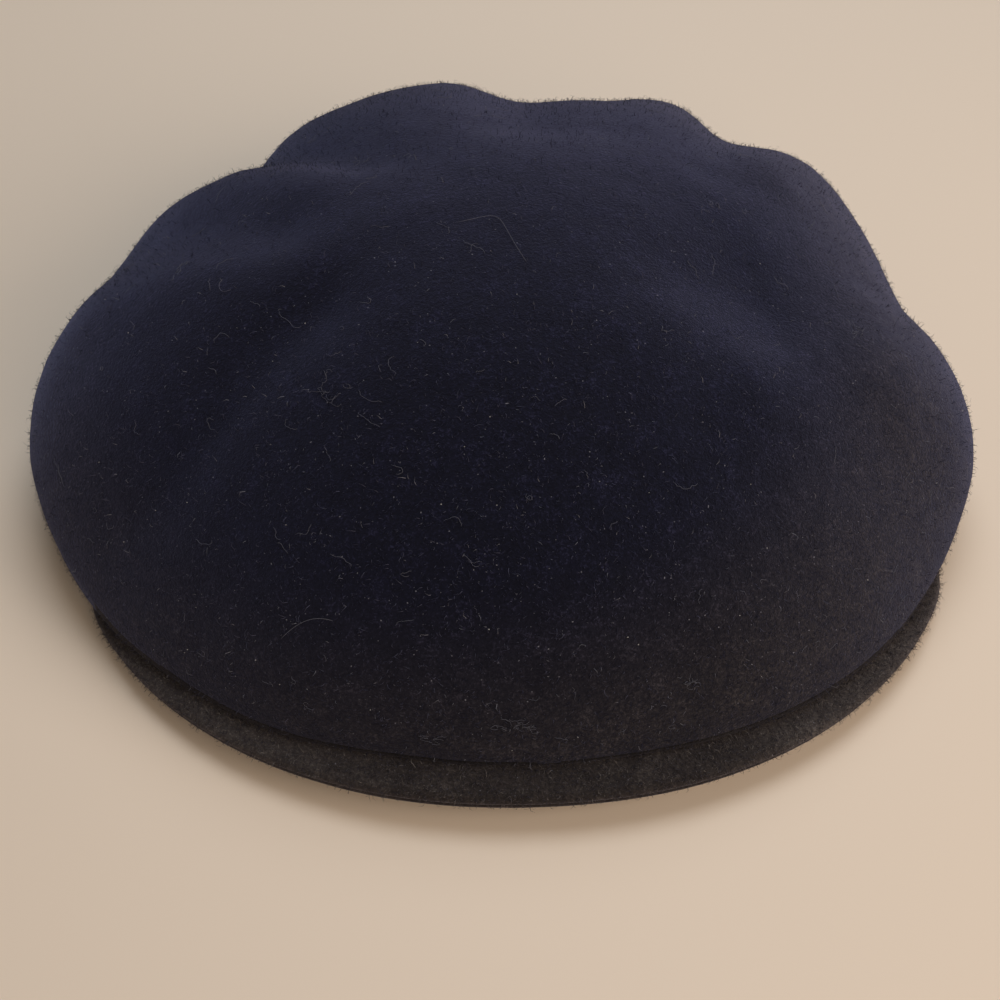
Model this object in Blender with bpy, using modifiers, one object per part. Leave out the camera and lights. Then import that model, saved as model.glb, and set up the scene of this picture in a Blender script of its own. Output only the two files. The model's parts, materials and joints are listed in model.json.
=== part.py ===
"""A soft beret of felted wool with a short stiff peak, as it sits when worn: crown, peak, sweatband and labels.

Metres, +Z up. The rim stands on z = 0, the peak points to -Y and the wearer's left is +X.
Azimuths are in degrees, measured from the peak (-Y) towards +X.
"""

import math

import bpy
from mathutils import Vector

COLLECTION = "beret"

# The opening for the head, an oval of 576 mm round, and where it stands in the frame.
OPENING_HALF_WIDTH = 0.083
OPENING_HALF_LENGTH = 0.100
PLACE_X = 0.0010
PLACE_Y = 0.0053

# Layers of the headband, from the inside out.
RIBBON_THICKNESS = 0.0008
RIBBON_HEIGHT = 0.028
RIBBON_BOTTOM = 0.0015
LAYER_GAP = 0.0003
FELT_THICKNESS = 0.0022

# The crown: how far out its bulge stands and how high, by azimuth.
CROWN_TOP = 0.088
CROWN_OUTLINE = (
    # azimuth, radius, height of the bulge
    (-180, 0.1255, 0.030),
    (-165, 0.1260, 0.030),
    (-150, 0.1240, 0.030),
    (-135, 0.1225, 0.029),
    (-120, 0.1205, 0.028),
    (-105, 0.1268, 0.026),
    (-90, 0.1358, 0.024),
    (-75, 0.1382, 0.022),
    (-60, 0.1382, 0.0205),
    (-45, 0.1360, 0.0190),
    (-30, 0.1330, 0.0175),
    (-15, 0.1290, 0.0170),
    (0, 0.1275, 0.0170),
    (15, 0.1290, 0.0170),
    (30, 0.1320, 0.0175),
    (45, 0.1350, 0.0190),
    (60, 0.1345, 0.0205),
    (75, 0.1342, 0.022),
    (90, 0.1310, 0.024),
    (105, 0.1282, 0.026),
    (120, 0.1283, 0.028),
    (135, 0.1285, 0.029),
    (150, 0.1290, 0.030),
    (165, 0.1275, 0.030),
)
# Soft folds of the crown in plan, each a line with its half-widths to the left and the right of the
# way from start to end, and its heights at the two ends.
CROWN_FOLDS = (
    # start, end, half-widths, heights (valleys are negative)
    ((0.004, 0.045), (0.010, 0.130), (0.016, 0.016), (-0.004, -0.008)),
    ((0.028, 0.045), (0.036, 0.130), (0.019, 0.016), (-0.002, -0.0065)),
    ((-0.042, 0.026), (-0.085, 0.077), (0.010, 0.015), (-0.003, -0.007)),
    ((-0.055, 0.014), (-0.104, 0.045), (0.010, 0.011), (0.0016, 0.0024)),
    ((-0.106, 0.022), (-0.064, -0.002), (0.010, 0.017), (-0.0025, -0.0030)),
    ((-0.116, -0.007), (-0.060, -0.020), (0.010, 0.012), (0.0014, 0.0016)),
    ((-0.052, -0.032), (-0.095, -0.066), (0.010, 0.011), (-0.0032, -0.0012)),
    ((0.056, 0.026), (0.079, 0.088), (0.013, 0.012), (-0.0015, -0.0060)),
    ((0.076, 0.036), (0.104, 0.066), (0.012, 0.012), (0.0020, 0.0020)),
    ((0.132, 0.011), (0.066, -0.020), (0.017, 0.031), (-0.0055, -0.0095)),
    ((0.112, -0.030), (0.060, -0.052), (0.013, 0.010), (0.0008, 0.0022)),
)
FOLD_FADE_UNDER = 1.1
FOLD_SIDE_BLEND = 0.006
# The plain dome whose outward ways the folds follow.
DOME_HEART_HEIGHT = 0.022
DOME_HALF_WIDTH = 0.130
DOME_HALF_HEIGHT = 0.062
SHOULDER_POWER_FRONT = 1.5
SHOULDER_POWER_BACK = 1.25
UNDER_CORNER_FRONT = 8.0
UNDER_CORNER_BACK = 2.0
BACK_WALL_HEIGHT = 0.0080
FRONT_HALF_ANGLE = 50.0
FRONT_BLEND_ANGLE = 40.0
CROWN_COLUMNS = 80
CROWN_TOP_RINGS = 15
CROWN_UNDER_RINGS = 6
CROWN_WALL_RINGS = 2

# The peak: a crescent of felt over a board, with its outer radius by azimuth either side of the middle.
PEAK_HALF_ANGLE = 78.0
PEAK_OUTER = (
    (0, 0.1350),
    (20, 0.1363),
    (35, 0.1372),
    (50, 0.1368),
    (60, 0.1340),
    (68, 0.1225),
    (74, 0.1045),
    (78, 0.0935),
)
PEAK_COLUMNS = 44
PEAK_ROOT_GAP = 0.0005
PEAK_BASE = 0.0025
PEAK_ARCH = 0.0035
PEAK_DROOP = 0.0015
COVER_THICKNESS = 0.0013
BOARD_THICKNESS = 0.0015
BOARD_INSET = 0.0024
BOARD_HALF_ANGLE = 74.0
LIP_WIDTH = 0.0018
EDGE_ROUNDING = 0.0006
CROWN_ON_PEAK_GAP = 0.0004

# Threads.
THREAD_RADIUS = 0.00025
THREAD_GAP = 0.0002
TACK_INSET = 0.0018
TACK_HALF_ANGLE = 52.0
ROOT_THREAD_HALF_ANGLE = 70.0
RIBBON_THREAD_HEIGHT = 0.0050
THREAD_POINTS = 48

# The lap where the ribbon's ends meet at the back.
LAP_LENGTH = 0.012
LAP_STEP = 0.0012
LAP_RAMP = 0.010
RIBBON_COLUMNS = 96
ZIGZAG_TURNS = 11
ZIGZAG_WIDTH = 0.003
ZIGZAG_MARGIN = 0.004

# Labels: middle azimuth, width, length and height of the sewn edge.
LABEL_THICKNESS = 0.0005
LABEL_GAP = 0.0004
RIBBON_BACK_CURVATURE_RADIUS = OPENING_HALF_WIDTH**2 / OPENING_HALF_LENGTH
LABELS = {
    "size_label": (160.0, 0.013, 0.012, 0.0245),
    "care_label": (-158.0, 0.024, 0.019, 0.0255),
}
LABEL_CORNER_BEVEL = 0.0001

# Colours, roughness.
COLOURS = {
    "felt": ((0.010, 0.012, 0.024), 0.95),
    "board": ((0.72, 0.70, 0.66), 0.55),
    "ribbon": ((0.006, 0.006, 0.009), 0.75),
    "thread": ((0.008, 0.008, 0.013), 0.70),
    "label": ((0.62, 0.61, 0.58), 0.60),
    "care_tape": ((0.70, 0.69, 0.66), 0.60),
}


def clear_scene():
    """Removes whatever the scene starts with."""
    for thing in list(bpy.data.objects):
        bpy.data.objects.remove(thing, do_unlink=True)


def make_material(name):
    colour, roughness = COLOURS[name]
    material = bpy.data.materials.new(name)
    material.use_nodes = True
    shader = material.node_tree.nodes["Principled BSDF"]
    shader.inputs["Base Color"].default_value = (*colour, 1.0)
    shader.inputs["Roughness"].default_value = roughness
    shader.inputs["Metallic"].default_value = 0.0
    material.diffuse_color = (*colour, 1.0)
    return material


def add_object(name, data, collection, material):
    """Puts a mesh or curve in the collection with its material."""
    piece = bpy.data.objects.new(name, data)
    data.materials.append(material)
    collection.objects.link(piece)
    return piece


def ease(value):
    """0 below 0, 1 above 1, and smooth between."""
    value = min(max(value, 0.0), 1.0)
    return value * value * (3.0 - 2.0 * value)


def around(azimuth, rows, column):
    """A smooth value round the whole turn, through the rows of a table that starts at -180."""
    azimuth = (azimuth + 180.0) % 360.0 - 180.0
    count = len(rows)
    last = max(i for i in range(count) if rows[i][0] <= azimuth)
    angles = []
    values = []
    for step in (-1, 0, 1, 2):
        turns, index = divmod(last + step, count)
        angles.append(rows[index][0] + 360.0 * turns)
        values.append(rows[index][column])
    span = angles[2] - angles[1]
    slope_in = (values[2] - values[0]) / (angles[2] - angles[0])
    slope_out = (values[3] - values[1]) / (angles[3] - angles[1])
    t = (azimuth - angles[1]) / span
    return (
        (2 * t**3 - 3 * t**2 + 1) * values[1]
        + (t**3 - 2 * t**2 + t) * span * slope_in
        + (3 * t**2 - 2 * t**3) * values[2]
        + (t**3 - t**2) * span * slope_out
    )


def between(azimuth, rows):
    """A smooth value either side of the middle, from a table that starts at 0."""
    azimuth = min(abs(azimuth), rows[-1][0])
    mirrored = [(-a, v) for a, v in reversed(rows[1:])] + list(rows)
    last = max(i for i in range(len(mirrored) - 1) if mirrored[i][0] <= azimuth)
    ends = [mirrored[max(0, min(len(mirrored) - 1, last + step))] for step in (-1, 0, 1, 2)]
    span = ends[2][0] - ends[1][0]
    slope_in = (ends[2][1] - ends[0][1]) / (ends[2][0] - ends[0][0])
    slope_out = (ends[3][1] - ends[1][1]) / (ends[3][0] - ends[1][0])
    t = (azimuth - ends[1][0]) / span
    return (
        (2 * t**3 - 3 * t**2 + 1) * ends[1][1]
        + (t**3 - 2 * t**2 + t) * span * slope_in
        + (3 * t**2 - 2 * t**3) * ends[2][1]
        + (t**3 - t**2) * span * slope_out
    )


def placed(azimuth, radius, height):
    """A point at an azimuth, a radius from the middle of the opening, and a height."""
    angle = math.radians(azimuth)
    return Vector(
        (PLACE_X + radius * math.sin(angle), PLACE_Y - radius * math.cos(angle), height)
    )


def oval_radius(azimuth, grown):
    """The radius of the opening's oval, grown outwards by a distance."""
    angle = math.radians(azimuth)
    half_width = OPENING_HALF_WIDTH + grown
    half_length = OPENING_HALF_LENGTH + grown
    return 1.0 / math.hypot(math.sin(angle) / half_width, math.cos(angle) / half_length)


def wall_radius(azimuth):
    """The outside of the felt rim."""
    return oval_radius(azimuth, RIBBON_THICKNESS + LAYER_GAP + FELT_THICKNESS)


def peak_inner(azimuth):
    return wall_radius(azimuth) + PEAK_ROOT_GAP


def peak_base_height(azimuth, radius):
    """The underside of the peak: arched across and drooping a little towards its edge."""
    across = math.cos(math.radians(90.0 * azimuth / PEAK_HALF_ANGLE)) ** 2
    inner = peak_inner(azimuth)
    out = (radius - inner) / (between(azimuth, PEAK_OUTER) - inner)
    return PEAK_BASE + PEAK_ARCH * across - PEAK_DROOP * min(max(out, 0.0), 1.0)


def peak_thickness():
    return 2 * COVER_THICKNESS + BOARD_THICKNESS + 2 * LAYER_GAP


def crown_column(azimuth):
    """One line of the crown from its top to the rim: (point, how much of the folds reaches it)."""
    radius = around(azimuth, CROWN_OUTLINE, 1)
    bulge = around(azimuth, CROWN_OUTLINE, 2)
    wall = wall_radius(azimuth)
    off_front = abs((azimuth + 180.0) % 360.0 - 180.0)
    front = 1.0 - ease((off_front - FRONT_HALF_ANGLE) / FRONT_BLEND_ANGLE)
    power = SHOULDER_POWER_FRONT * front + SHOULDER_POWER_BACK * (1.0 - front)
    corner = UNDER_CORNER_FRONT * front + UNDER_CORNER_BACK * (1.0 - front)
    on_peak = min(off_front, PEAK_HALF_ANGLE)
    clear = peak_thickness() + CROWN_ON_PEAK_GAP
    low = BACK_WALL_HEIGHT * (1.0 - front)
    low += (peak_base_height(on_peak, 0.0) + clear) * front
    column = []
    for ring in range(CROWN_TOP_RINGS + 1):
        angle = 0.5 * math.pi * ring / CROWN_TOP_RINGS
        rise = max(math.cos(angle), 0.0) ** power
        height = bulge + (CROWN_TOP - bulge) * rise
        column.append((placed(azimuth, radius * math.sin(angle), height), 1.0))
    for ring in range(1, CROWN_UNDER_RINGS + 1):
        angle = 0.5 * math.pi * ring / CROWN_UNDER_RINGS
        reach = max(math.cos(angle), 0.0) ** (2.0 / corner)
        drop = math.sin(angle) ** (2.0 / corner)
        height = bulge + (low - PEAK_DROOP * reach * front - bulge) * drop
        fold = 1.0 - ease(FOLD_FADE_UNDER * ring / CROWN_UNDER_RINGS)
        column.append((placed(azimuth, wall + (radius - wall) * reach, height), fold))
    for ring in range(1, CROWN_WALL_RINGS + 1):
        column.append((placed(azimuth, wall, low * (1.0 - ring / CROWN_WALL_RINGS)), 0.0))
    return column


def fold_height(point):
    """How far the folds lift or sink the crown at a point, seen in plan."""
    total = 0.0
    x = point.x - PLACE_X
    y = point.y - PLACE_Y
    for start, end, half_widths, heights in CROWN_FOLDS:
        along_x = end[0] - start[0]
        along_y = end[1] - start[1]
        length = math.hypot(along_x, along_y)
        off_x = x - start[0]
        off_y = y - start[1]
        share = min(max((off_x * along_x + off_y * along_y) / length**2, 0.0), 1.0)
        distance = math.hypot(off_x - share * along_x, off_y - share * along_y)
        leftwards = (off_y * along_x - off_x * along_y) / length
        left = 0.5 + 0.5 * math.tanh(leftwards / FOLD_SIDE_BLEND)
        half_width = half_widths[1] + (half_widths[0] - half_widths[1]) * left
        height = heights[0] + (heights[1] - heights[0]) * share
        total += height * math.exp(-((distance / half_width) ** 2))
    return total


def dome_way(point):
    """The way out of the crown at a point, as if it were a plain low dome."""
    return Vector(
        (
            (point.x - PLACE_X) / DOME_HALF_WIDTH**2,
            (point.y - PLACE_Y) / DOME_HALF_WIDTH**2,
            max(point.z - DOME_HEART_HEIGHT, 0.0) / DOME_HALF_HEIGHT**2,
        )
    ).normalized()


def crown_points():
    """The crown's outside as columns of points from the top to the rim, pushed in and out by its folds."""
    columns = []
    for index in range(CROWN_COLUMNS):
        column = crown_column(-180.0 + 360.0 * index / CROWN_COLUMNS)
        columns.append(
            [point + dome_way(point) * fold_height(point) * share for point, share in column]
        )
    return columns


def make_crown(collection, material):
    """The seamless felt crown: one open surface made thick."""
    columns = crown_points()
    rings = len(columns[0])
    vertices = [columns[0][0]]
    for column in columns:
        vertices.extend(column[1:])
    per_column = rings - 1
    faces = []
    for index in range(CROWN_COLUMNS):
        here = 1 + index * per_column
        there = 1 + (index + 1) % CROWN_COLUMNS * per_column
        faces.append((0, here, there))
        for ring in range(per_column - 1):
            faces.append((here + ring, here + ring + 1, there + ring + 1, there + ring))
    mesh = bpy.data.meshes.new("crown_shell")
    mesh.from_pydata(vertices, [], faces)
    mesh.update()
    mesh.polygons.foreach_set("use_smooth", [True] * len(mesh.polygons))
    crown = add_object("crown_shell", mesh, collection, material)
    shell = crown.modifiers.new("felt", "SOLIDIFY")
    shell.thickness = FELT_THICKNESS
    shell.offset = -1.0
    shell.use_even_offset = True
    shell.use_quality_normals = True
    return crown


def loft(name, sections, collection, material):
    """A closed body through loops of points of the same count, with flat ends."""
    count = len(sections[0])
    vertices = [point for section in sections for point in section]
    faces = [tuple(range(count))]
    for index in range(len(sections) - 1):
        first = index * count
        for corner in range(count):
            after = (corner + 1) % count
            faces.append(
                (first + corner, first + count + corner, first + count + after, first + after)
            )
    last = (len(sections) - 1) * count
    faces.append(tuple(last + corner for corner in reversed(range(count))))
    mesh = bpy.data.meshes.new(name)
    mesh.from_pydata(vertices, [], faces)
    mesh.update()
    return add_object(name, mesh, collection, material)


def peak_section(azimuth, inner, outer, low, high):
    """A flat strip of the peak between two radii and two levels above its underside."""
    points = []
    middle = 0.5 * (inner + outer)
    for radius, level in (
        (inner, low),
        (middle, low),
        (outer - EDGE_ROUNDING, low),
        (outer, low + EDGE_ROUNDING),
        (outer, high - EDGE_ROUNDING),
        (outer - EDGE_ROUNDING, high),
        (middle, high),
        (inner, high),
    ):
        points.append(placed(azimuth, radius, peak_base_height(azimuth, radius) + level))
    return points


def top_cover_section(azimuth):
    """The upper cover: a strip with a lip that turns down in front of the board."""
    inner = peak_inner(azimuth)
    outer = between(azimuth, PEAK_OUTER)
    lip = min(LIP_WIDTH, 0.5 * (outer - inner))
    high = peak_thickness()
    low = high - COVER_THICKNESS
    lip_low = COVER_THICKNESS + LAYER_GAP
    points = []
    for radius, level in (
        (inner, low),
        (0.5 * (inner + outer), low),
        (outer - lip, low),
        (outer - lip, lip_low),
        (outer, lip_low),
        (outer, high - 2 * EDGE_ROUNDING),
        (outer - 2 * EDGE_ROUNDING, high),
        (0.5 * (inner + outer), high),
        (inner, high),
    ):
        points.append(placed(azimuth, radius, peak_base_height(azimuth, radius) + level))
    return points


def peak_azimuths(half_angle):
    steps = PEAK_COLUMNS
    return [half_angle * (2.0 * step / steps - 1.0) for step in range(steps + 1)]


def make_peak(collection, materials):
    """The peak's upper cover, board and under cover."""
    sections = [top_cover_section(azimuth) for azimuth in peak_azimuths(PEAK_HALF_ANGLE)]
    loft("peak_top_cover", sections, collection, materials["felt"])
    sections = []
    for azimuth in peak_azimuths(PEAK_HALF_ANGLE):
        inner = peak_inner(azimuth)
        outer = between(azimuth, PEAK_OUTER)
        sections.append(peak_section(azimuth, inner, outer, 0.0, COVER_THICKNESS))
    loft("peak_under_cover", sections, collection, materials["felt"])
    sections = []
    low = COVER_THICKNESS + LAYER_GAP
    for azimuth in peak_azimuths(BOARD_HALF_ANGLE):
        inner = peak_inner(azimuth) + BOARD_INSET
        outer = between(azimuth, PEAK_OUTER) - BOARD_INSET
        sections.append(peak_section(azimuth, inner, outer, low, low + BOARD_THICKNESS))
    loft("peak_board", sections, collection, materials["board"])


def make_thread(name, points, closed, collection, material):
    """A round thread through the points."""
    curve = bpy.data.curves.new(name, "CURVE")
    curve.dimensions = "3D"
    curve.bevel_depth = THREAD_RADIUS
    curve.bevel_resolution = 1
    curve.use_fill_caps = not closed
    spline = curve.splines.new("POLY")
    spline.points.add(len(points) - 1)
    for knot, point in zip(spline.points, points):
        knot.co = (*point, 1.0)
    spline.use_cyclic_u = closed
    return add_object(name, curve, collection, material)


def make_peak_threads(collection, material):
    """The tacks that hold the crown down on the peak, and the seam at the peak's root."""
    points = []
    for step in range(THREAD_POINTS + 1):
        azimuth = TACK_HALF_ANGLE * (2.0 * step / THREAD_POINTS - 1.0)
        radius = around(azimuth, CROWN_OUTLINE, 1) - TACK_INSET
        height = peak_base_height(azimuth, radius) + peak_thickness()
        points.append(placed(azimuth, radius, height + THREAD_GAP + THREAD_RADIUS))
    make_thread("crown_tack_thread", points, False, collection, material)
    points = []
    for step in range(THREAD_POINTS + 1):
        azimuth = ROOT_THREAD_HALF_ANGLE * (2.0 * step / THREAD_POINTS - 1.0)
        radius = peak_inner(azimuth) + THREAD_RADIUS + THREAD_GAP
        height = peak_base_height(azimuth, radius) - THREAD_GAP - THREAD_RADIUS
        points.append(placed(azimuth, radius, height))
    make_thread("peak_root_thread", points, False, collection, material)


def lap_shift(along, circumference):
    """How far the ribbon steps inwards where its last end laps over the first."""
    start = circumference - LAP_RAMP
    return LAP_STEP * ease((along - start) / LAP_RAMP)


def ribbon_sections():
    """The sweatband's sections, from the back round to the back again and past its own start."""
    mean_radius = math.sqrt(0.5 * (OPENING_HALF_WIDTH**2 + OPENING_HALF_LENGTH**2))
    circumference = 2.0 * math.pi * mean_radius
    total = circumference + LAP_LENGTH
    sections = []
    for step in range(RIBBON_COLUMNS + 1):
        along = total * step / RIBBON_COLUMNS
        azimuth = -180.0 + 360.0 * (along - 0.5 * LAP_LENGTH) / circumference
        inner = oval_radius(azimuth, -lap_shift(along, circumference))
        outer = inner + RIBBON_THICKNESS
        top = RIBBON_BOTTOM + RIBBON_HEIGHT
        sections.append(
            [
                placed(azimuth, inner, RIBBON_BOTTOM),
                placed(azimuth, outer, RIBBON_BOTTOM),
                placed(azimuth, outer, top),
                placed(azimuth, inner, top),
            ]
        )
    return sections


def make_sweatband(collection, materials):
    """The ribbon round the opening, its sewing row and the zigzag over its lap."""
    loft("sweatband", ribbon_sections(), collection, materials["ribbon"])
    inside = -(LAP_STEP + THREAD_GAP + THREAD_RADIUS)
    points = []
    for step in range(THREAD_POINTS * 2):
        azimuth = 360.0 * step / (THREAD_POINTS * 2)
        lapped = math.radians(azimuth - 180.0) * OPENING_HALF_WIDTH
        stepped = ease(1.0 - (abs(lapped) - LAP_LENGTH) / LAP_RAMP)
        grown = -(THREAD_GAP + THREAD_RADIUS) - LAP_STEP * stepped
        points.append(placed(azimuth, oval_radius(azimuth, grown), RIBBON_THREAD_HEIGHT))
    make_thread("sweatband_thread", points, True, collection, materials["thread"])
    points = []
    low = RIBBON_THREAD_HEIGHT + ZIGZAG_MARGIN
    high = RIBBON_BOTTOM + RIBBON_HEIGHT - ZIGZAG_MARGIN
    back = PLACE_Y + oval_radius(180.0, inside)
    for step in range(ZIGZAG_TURNS + 1):
        side = 0.5 * ZIGZAG_WIDTH * (1 if step % 2 else -1)
        points.append(Vector((PLACE_X + side, back, low + (high - low) * step / ZIGZAG_TURNS)))
    make_thread("sweatband_join_thread", points, False, collection, materials["thread"])


def make_label(name, collection, materials):
    """A small woven tab that hangs from the ribbon and turns on its sewn top edge, with its thread."""
    azimuth, width, length, top = LABELS[name]
    hollow = (0.5 * width) ** 2 / (2.0 * RIBBON_BACK_CURVATURE_RADIUS)
    inside = -(LABEL_GAP + hollow + LABEL_THICKNESS * 0.5)
    hinge = bpy.data.objects.new(f"{name}_hinge", None)
    hinge.location = placed(azimuth, oval_radius(azimuth, inside), top)
    outward = hinge.location - Vector((PLACE_X, PLACE_Y, top))
    normal = Vector(
        (outward.x / OPENING_HALF_WIDTH**2, outward.y / OPENING_HALF_LENGTH**2, 0.0)
    ).normalized()
    hinge.rotation_euler = (0.0, 0.0, math.atan2(normal.y, normal.x) + 0.5 * math.pi)
    hinge.empty_display_size = width
    collection.objects.link(hinge)
    half = 0.5 * LABEL_THICKNESS
    corners = []
    for y in (-half, half):
        corners.extend(
            [
                Vector((-0.5 * width, y, -length)),
                Vector((0.5 * width, y, -length)),
                Vector((0.5 * width, y, 0.0)),
                Vector((-0.5 * width, y, 0.0)),
            ]
        )
    mesh = bpy.data.meshes.new(name)
    faces = [
        (0, 1, 2, 3),
        (7, 6, 5, 4),
        (0, 4, 5, 1),
        (1, 5, 6, 2),
        (2, 6, 7, 3),
        (3, 7, 4, 0),
    ]
    mesh.from_pydata(corners, [], faces)
    mesh.update()
    material = materials["label" if name == "size_label" else "care_tape"]
    label = add_object(name, mesh, collection, material)
    label.parent = hinge
    rounding = label.modifiers.new("edges", "BEVEL")
    rounding.width = LABEL_CORNER_BEVEL
    rounding.segments = 1
    across = Vector((-normal.y, normal.x, 0.0))
    lift = Vector((0.0, 0.0, LABEL_THICKNESS + THREAD_GAP + THREAD_RADIUS))
    ends = [hinge.location + across * side * 0.5 * width + lift for side in (-1, 0, 1)]
    make_thread(f"{name}_thread", ends, False, collection, materials["thread"])


def main():
    clear_scene()
    collection = bpy.data.collections.new(COLLECTION)
    bpy.context.scene.collection.children.link(collection)
    materials = {name: make_material(name) for name in COLOURS}
    make_crown(collection, materials["felt"])
    make_peak(collection, materials)
    make_peak_threads(collection, materials["thread"])
    make_sweatband(collection, materials)
    for name in LABELS:
        make_label(name, collection, materials)


main()
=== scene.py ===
"""The looks of a soft felted-wool beret with a short stiff peak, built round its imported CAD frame.

Metres, +Z up. The rim stands on z = 0, the peak points to -Y and the wearer's left is +X.
Azimuths are in degrees round the opening for the head, from the peak (-Y) towards +X.
"""

import json
import math

import bmesh
import bpy
import numpy as np
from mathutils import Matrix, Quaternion, Vector, noise


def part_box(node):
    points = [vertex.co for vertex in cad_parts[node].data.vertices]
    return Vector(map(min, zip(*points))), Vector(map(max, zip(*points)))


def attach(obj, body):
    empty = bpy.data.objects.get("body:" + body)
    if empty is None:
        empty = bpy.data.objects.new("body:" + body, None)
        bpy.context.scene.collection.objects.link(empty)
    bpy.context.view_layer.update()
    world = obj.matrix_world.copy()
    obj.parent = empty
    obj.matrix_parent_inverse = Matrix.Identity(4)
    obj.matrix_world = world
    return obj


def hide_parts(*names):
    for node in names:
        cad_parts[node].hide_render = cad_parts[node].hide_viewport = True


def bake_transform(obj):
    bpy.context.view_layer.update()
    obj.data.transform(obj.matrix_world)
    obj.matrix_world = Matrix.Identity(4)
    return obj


SEED = 11

# Layers, as in the CAD.
RIBBON_THICKNESS = 0.0008
LAYER_GAP = 0.0003
FELT_THICKNESS = 0.0022
COVER_THICKNESS = 0.0013
BOARD_THICKNESS = 0.0015
PEAK_THICKNESS = 2 * COVER_THICKNESS + BOARD_THICKNESS + 2 * LAYER_GAP

# The crown: its height, and how far out its bulge stands and how high, by azimuth.
CROWN_HEIGHT = 0.088
CROWN_OUTLINE = (
    # azimuth, radius, height of the bulge
    (-180, 0.1255, 0.030),
    (-165, 0.126, 0.030),
    (-150, 0.1240, 0.030),
    (-135, 0.1225, 0.029),
    (-120, 0.1205, 0.028),
    (-105, 0.1268, 0.026),
    (-90, 0.1358, 0.024),
    (-75, 0.1382, 0.022),
    (-60, 0.1360, 0.0140),
    (-45, 0.1325, 0.0105),
    (-30, 0.1303, 0.0104),
    (-15, 0.1268, 0.0104),
    (0, 0.1257, 0.0105),
    (15, 0.1268, 0.0104),
    (30, 0.1295, 0.0104),
    (45, 0.1318, 0.0103),
    (60, 0.1333, 0.0132),
    (75, 0.1352, 0.0195),
    (90, 0.1322, 0.024),
    (105, 0.1282, 0.026),
    (120, 0.1283, 0.028),
    (135, 0.1285, 0.029),
    (150, 0.1290, 0.030),
    (165, 0.1275, 0.030),
)
# Soft folds of the crown in plan, each a line with its half-widths to the left and the right of the
# way from start to end, and its heights at the two ends.
CROWN_FOLDS = (
    # start, end, half-widths, heights (valleys are negative)
    ((0.004, 0.045), (0.010, 0.130), (0.016, 0.016), (-0.004, -0.008)),
    ((0.028, 0.045), (0.036, 0.130), (0.019, 0.016), (-0.002, -0.0065)),
    ((-0.042, 0.026), (-0.085, 0.077), (0.010, 0.015), (-0.003, -0.007)),
    ((-0.055, 0.014), (-0.104, 0.045), (0.010, 0.011), (0.0016, 0.0024)),
    ((-0.106, 0.022), (-0.064, -0.002), (0.010, 0.017), (-0.0025, -0.0030)),
    ((-0.116, -0.007), (-0.060, -0.020), (0.010, 0.012), (0.0014, 0.0016)),
    ((-0.052, -0.032), (-0.095, -0.066), (0.010, 0.011), (-0.0032, -0.0012)),
    ((0.056, 0.026), (0.079, 0.088), (0.013, 0.012), (-0.0015, -0.0060)),
    ((0.076, 0.036), (0.104, 0.066), (0.012, 0.012), (0.0020, 0.0020)),
    ((0.134, 0.015), (0.112, 0.004), (0.011, 0.026), (-0.0044, -0.0020)),
    ((0.118, 0.004), (0.066, -0.020), (0.023, 0.031), (-0.0042, -0.0080)),
    ((0.112, -0.030), (0.060, -0.052), (0.013, 0.010), (0.0008, 0.0022)),
)
# How early the folds fade under the bulge, and how softly a fold's two half-widths meet.
FOLD_FADE_UNDER = 1.1
FOLD_SIDE_BLEND = 0.006
# The plain dome whose outward ways the folds follow.
DOME_HEART_HEIGHT = 0.022
DOME_HALF_SIZES = (0.130, 0.130, 0.062)
# The crown's profile: round over the shoulder, square under the bulge, low at the front.
SHOULDER_POWER_FRONT = 1.6
SHOULDER_POWER_BACK = 1.25
UNDER_CORNER_FRONT = 10.0
UNDER_CORNER_BACK = 2.0
BACK_WALL_HEIGHT = 0.0080
FRONT_HALF_ANGLE = 50.0
FRONT_BLEND_ANGLE = 40.0
CROWN_ON_PEAK_GAP = 0.0001
# The crown's grid of points.
CROWN_COLUMNS = 280
CROWN_TOP_RINGS = 70
CROWN_UNDER_RINGS = 22
CROWN_WALL_RINGS = 4
CROWN_RIM_ARC = 4
# How far the rim's two edges lie above the rounded lowest line between them.
RIM_EDGE_LIFT = 0.0006
# Unevenness of the felt: size of the bumps and their height.
FELT_WAVES = ((0.030, 0.00055), (0.011, 0.00022), (0.005, 0.00008))
# The crease over the peak, where the crown's felt gets painted shade: darker, with little sheen.
CREASE_SHADE_HALF_ANGLE = 57.0
CREASE_SHADE_HEIGHT = 0.0109

# The peak: its outer edge by azimuth, and how its underside lies over the rim's lower edge.
PEAK_HALF_ANGLE = 78.0
PEAK_OUTER = (
    (0, 0.1350),
    (20, 0.1363),
    (35, 0.1372),
    (50, 0.1368),
    (60, 0.1340),
    (68, 0.1225),
    (74, 0.1045),
    (78, 0.0935),
)
PEAK_COLUMNS = 220
PEAK_ROOT_GAP = 0.0005
PEAK_BASE = 0.0025
PEAK_ARCH = 0.0035
PEAK_DROOP = 0.0015
# The upper cover: its lip over the edge, and the round of the edge.
PEAK_LIP = 0.0018
PEAK_LIP_SHARE = 0.5
PEAK_ROUND = 0.0022
PEAK_ROUND_SHARE = 0.45
PEAK_ROUND_ARC = (-80.0, 90.0, 10)
PEAK_TOP_STEPS = 6
# The lower cover, set back inside the upper one's lip.
UNDERSIDE_INSET = 0.0006
UNDERSIDE_LEAST_WIDTH = 0.001
UNDERSIDE_ROUND_SHARE = 0.4
UNDERSIDE_ROUND_ARC = (-72.0, 72.0, 6)
UNDERSIDE_STEPS = 5

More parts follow.
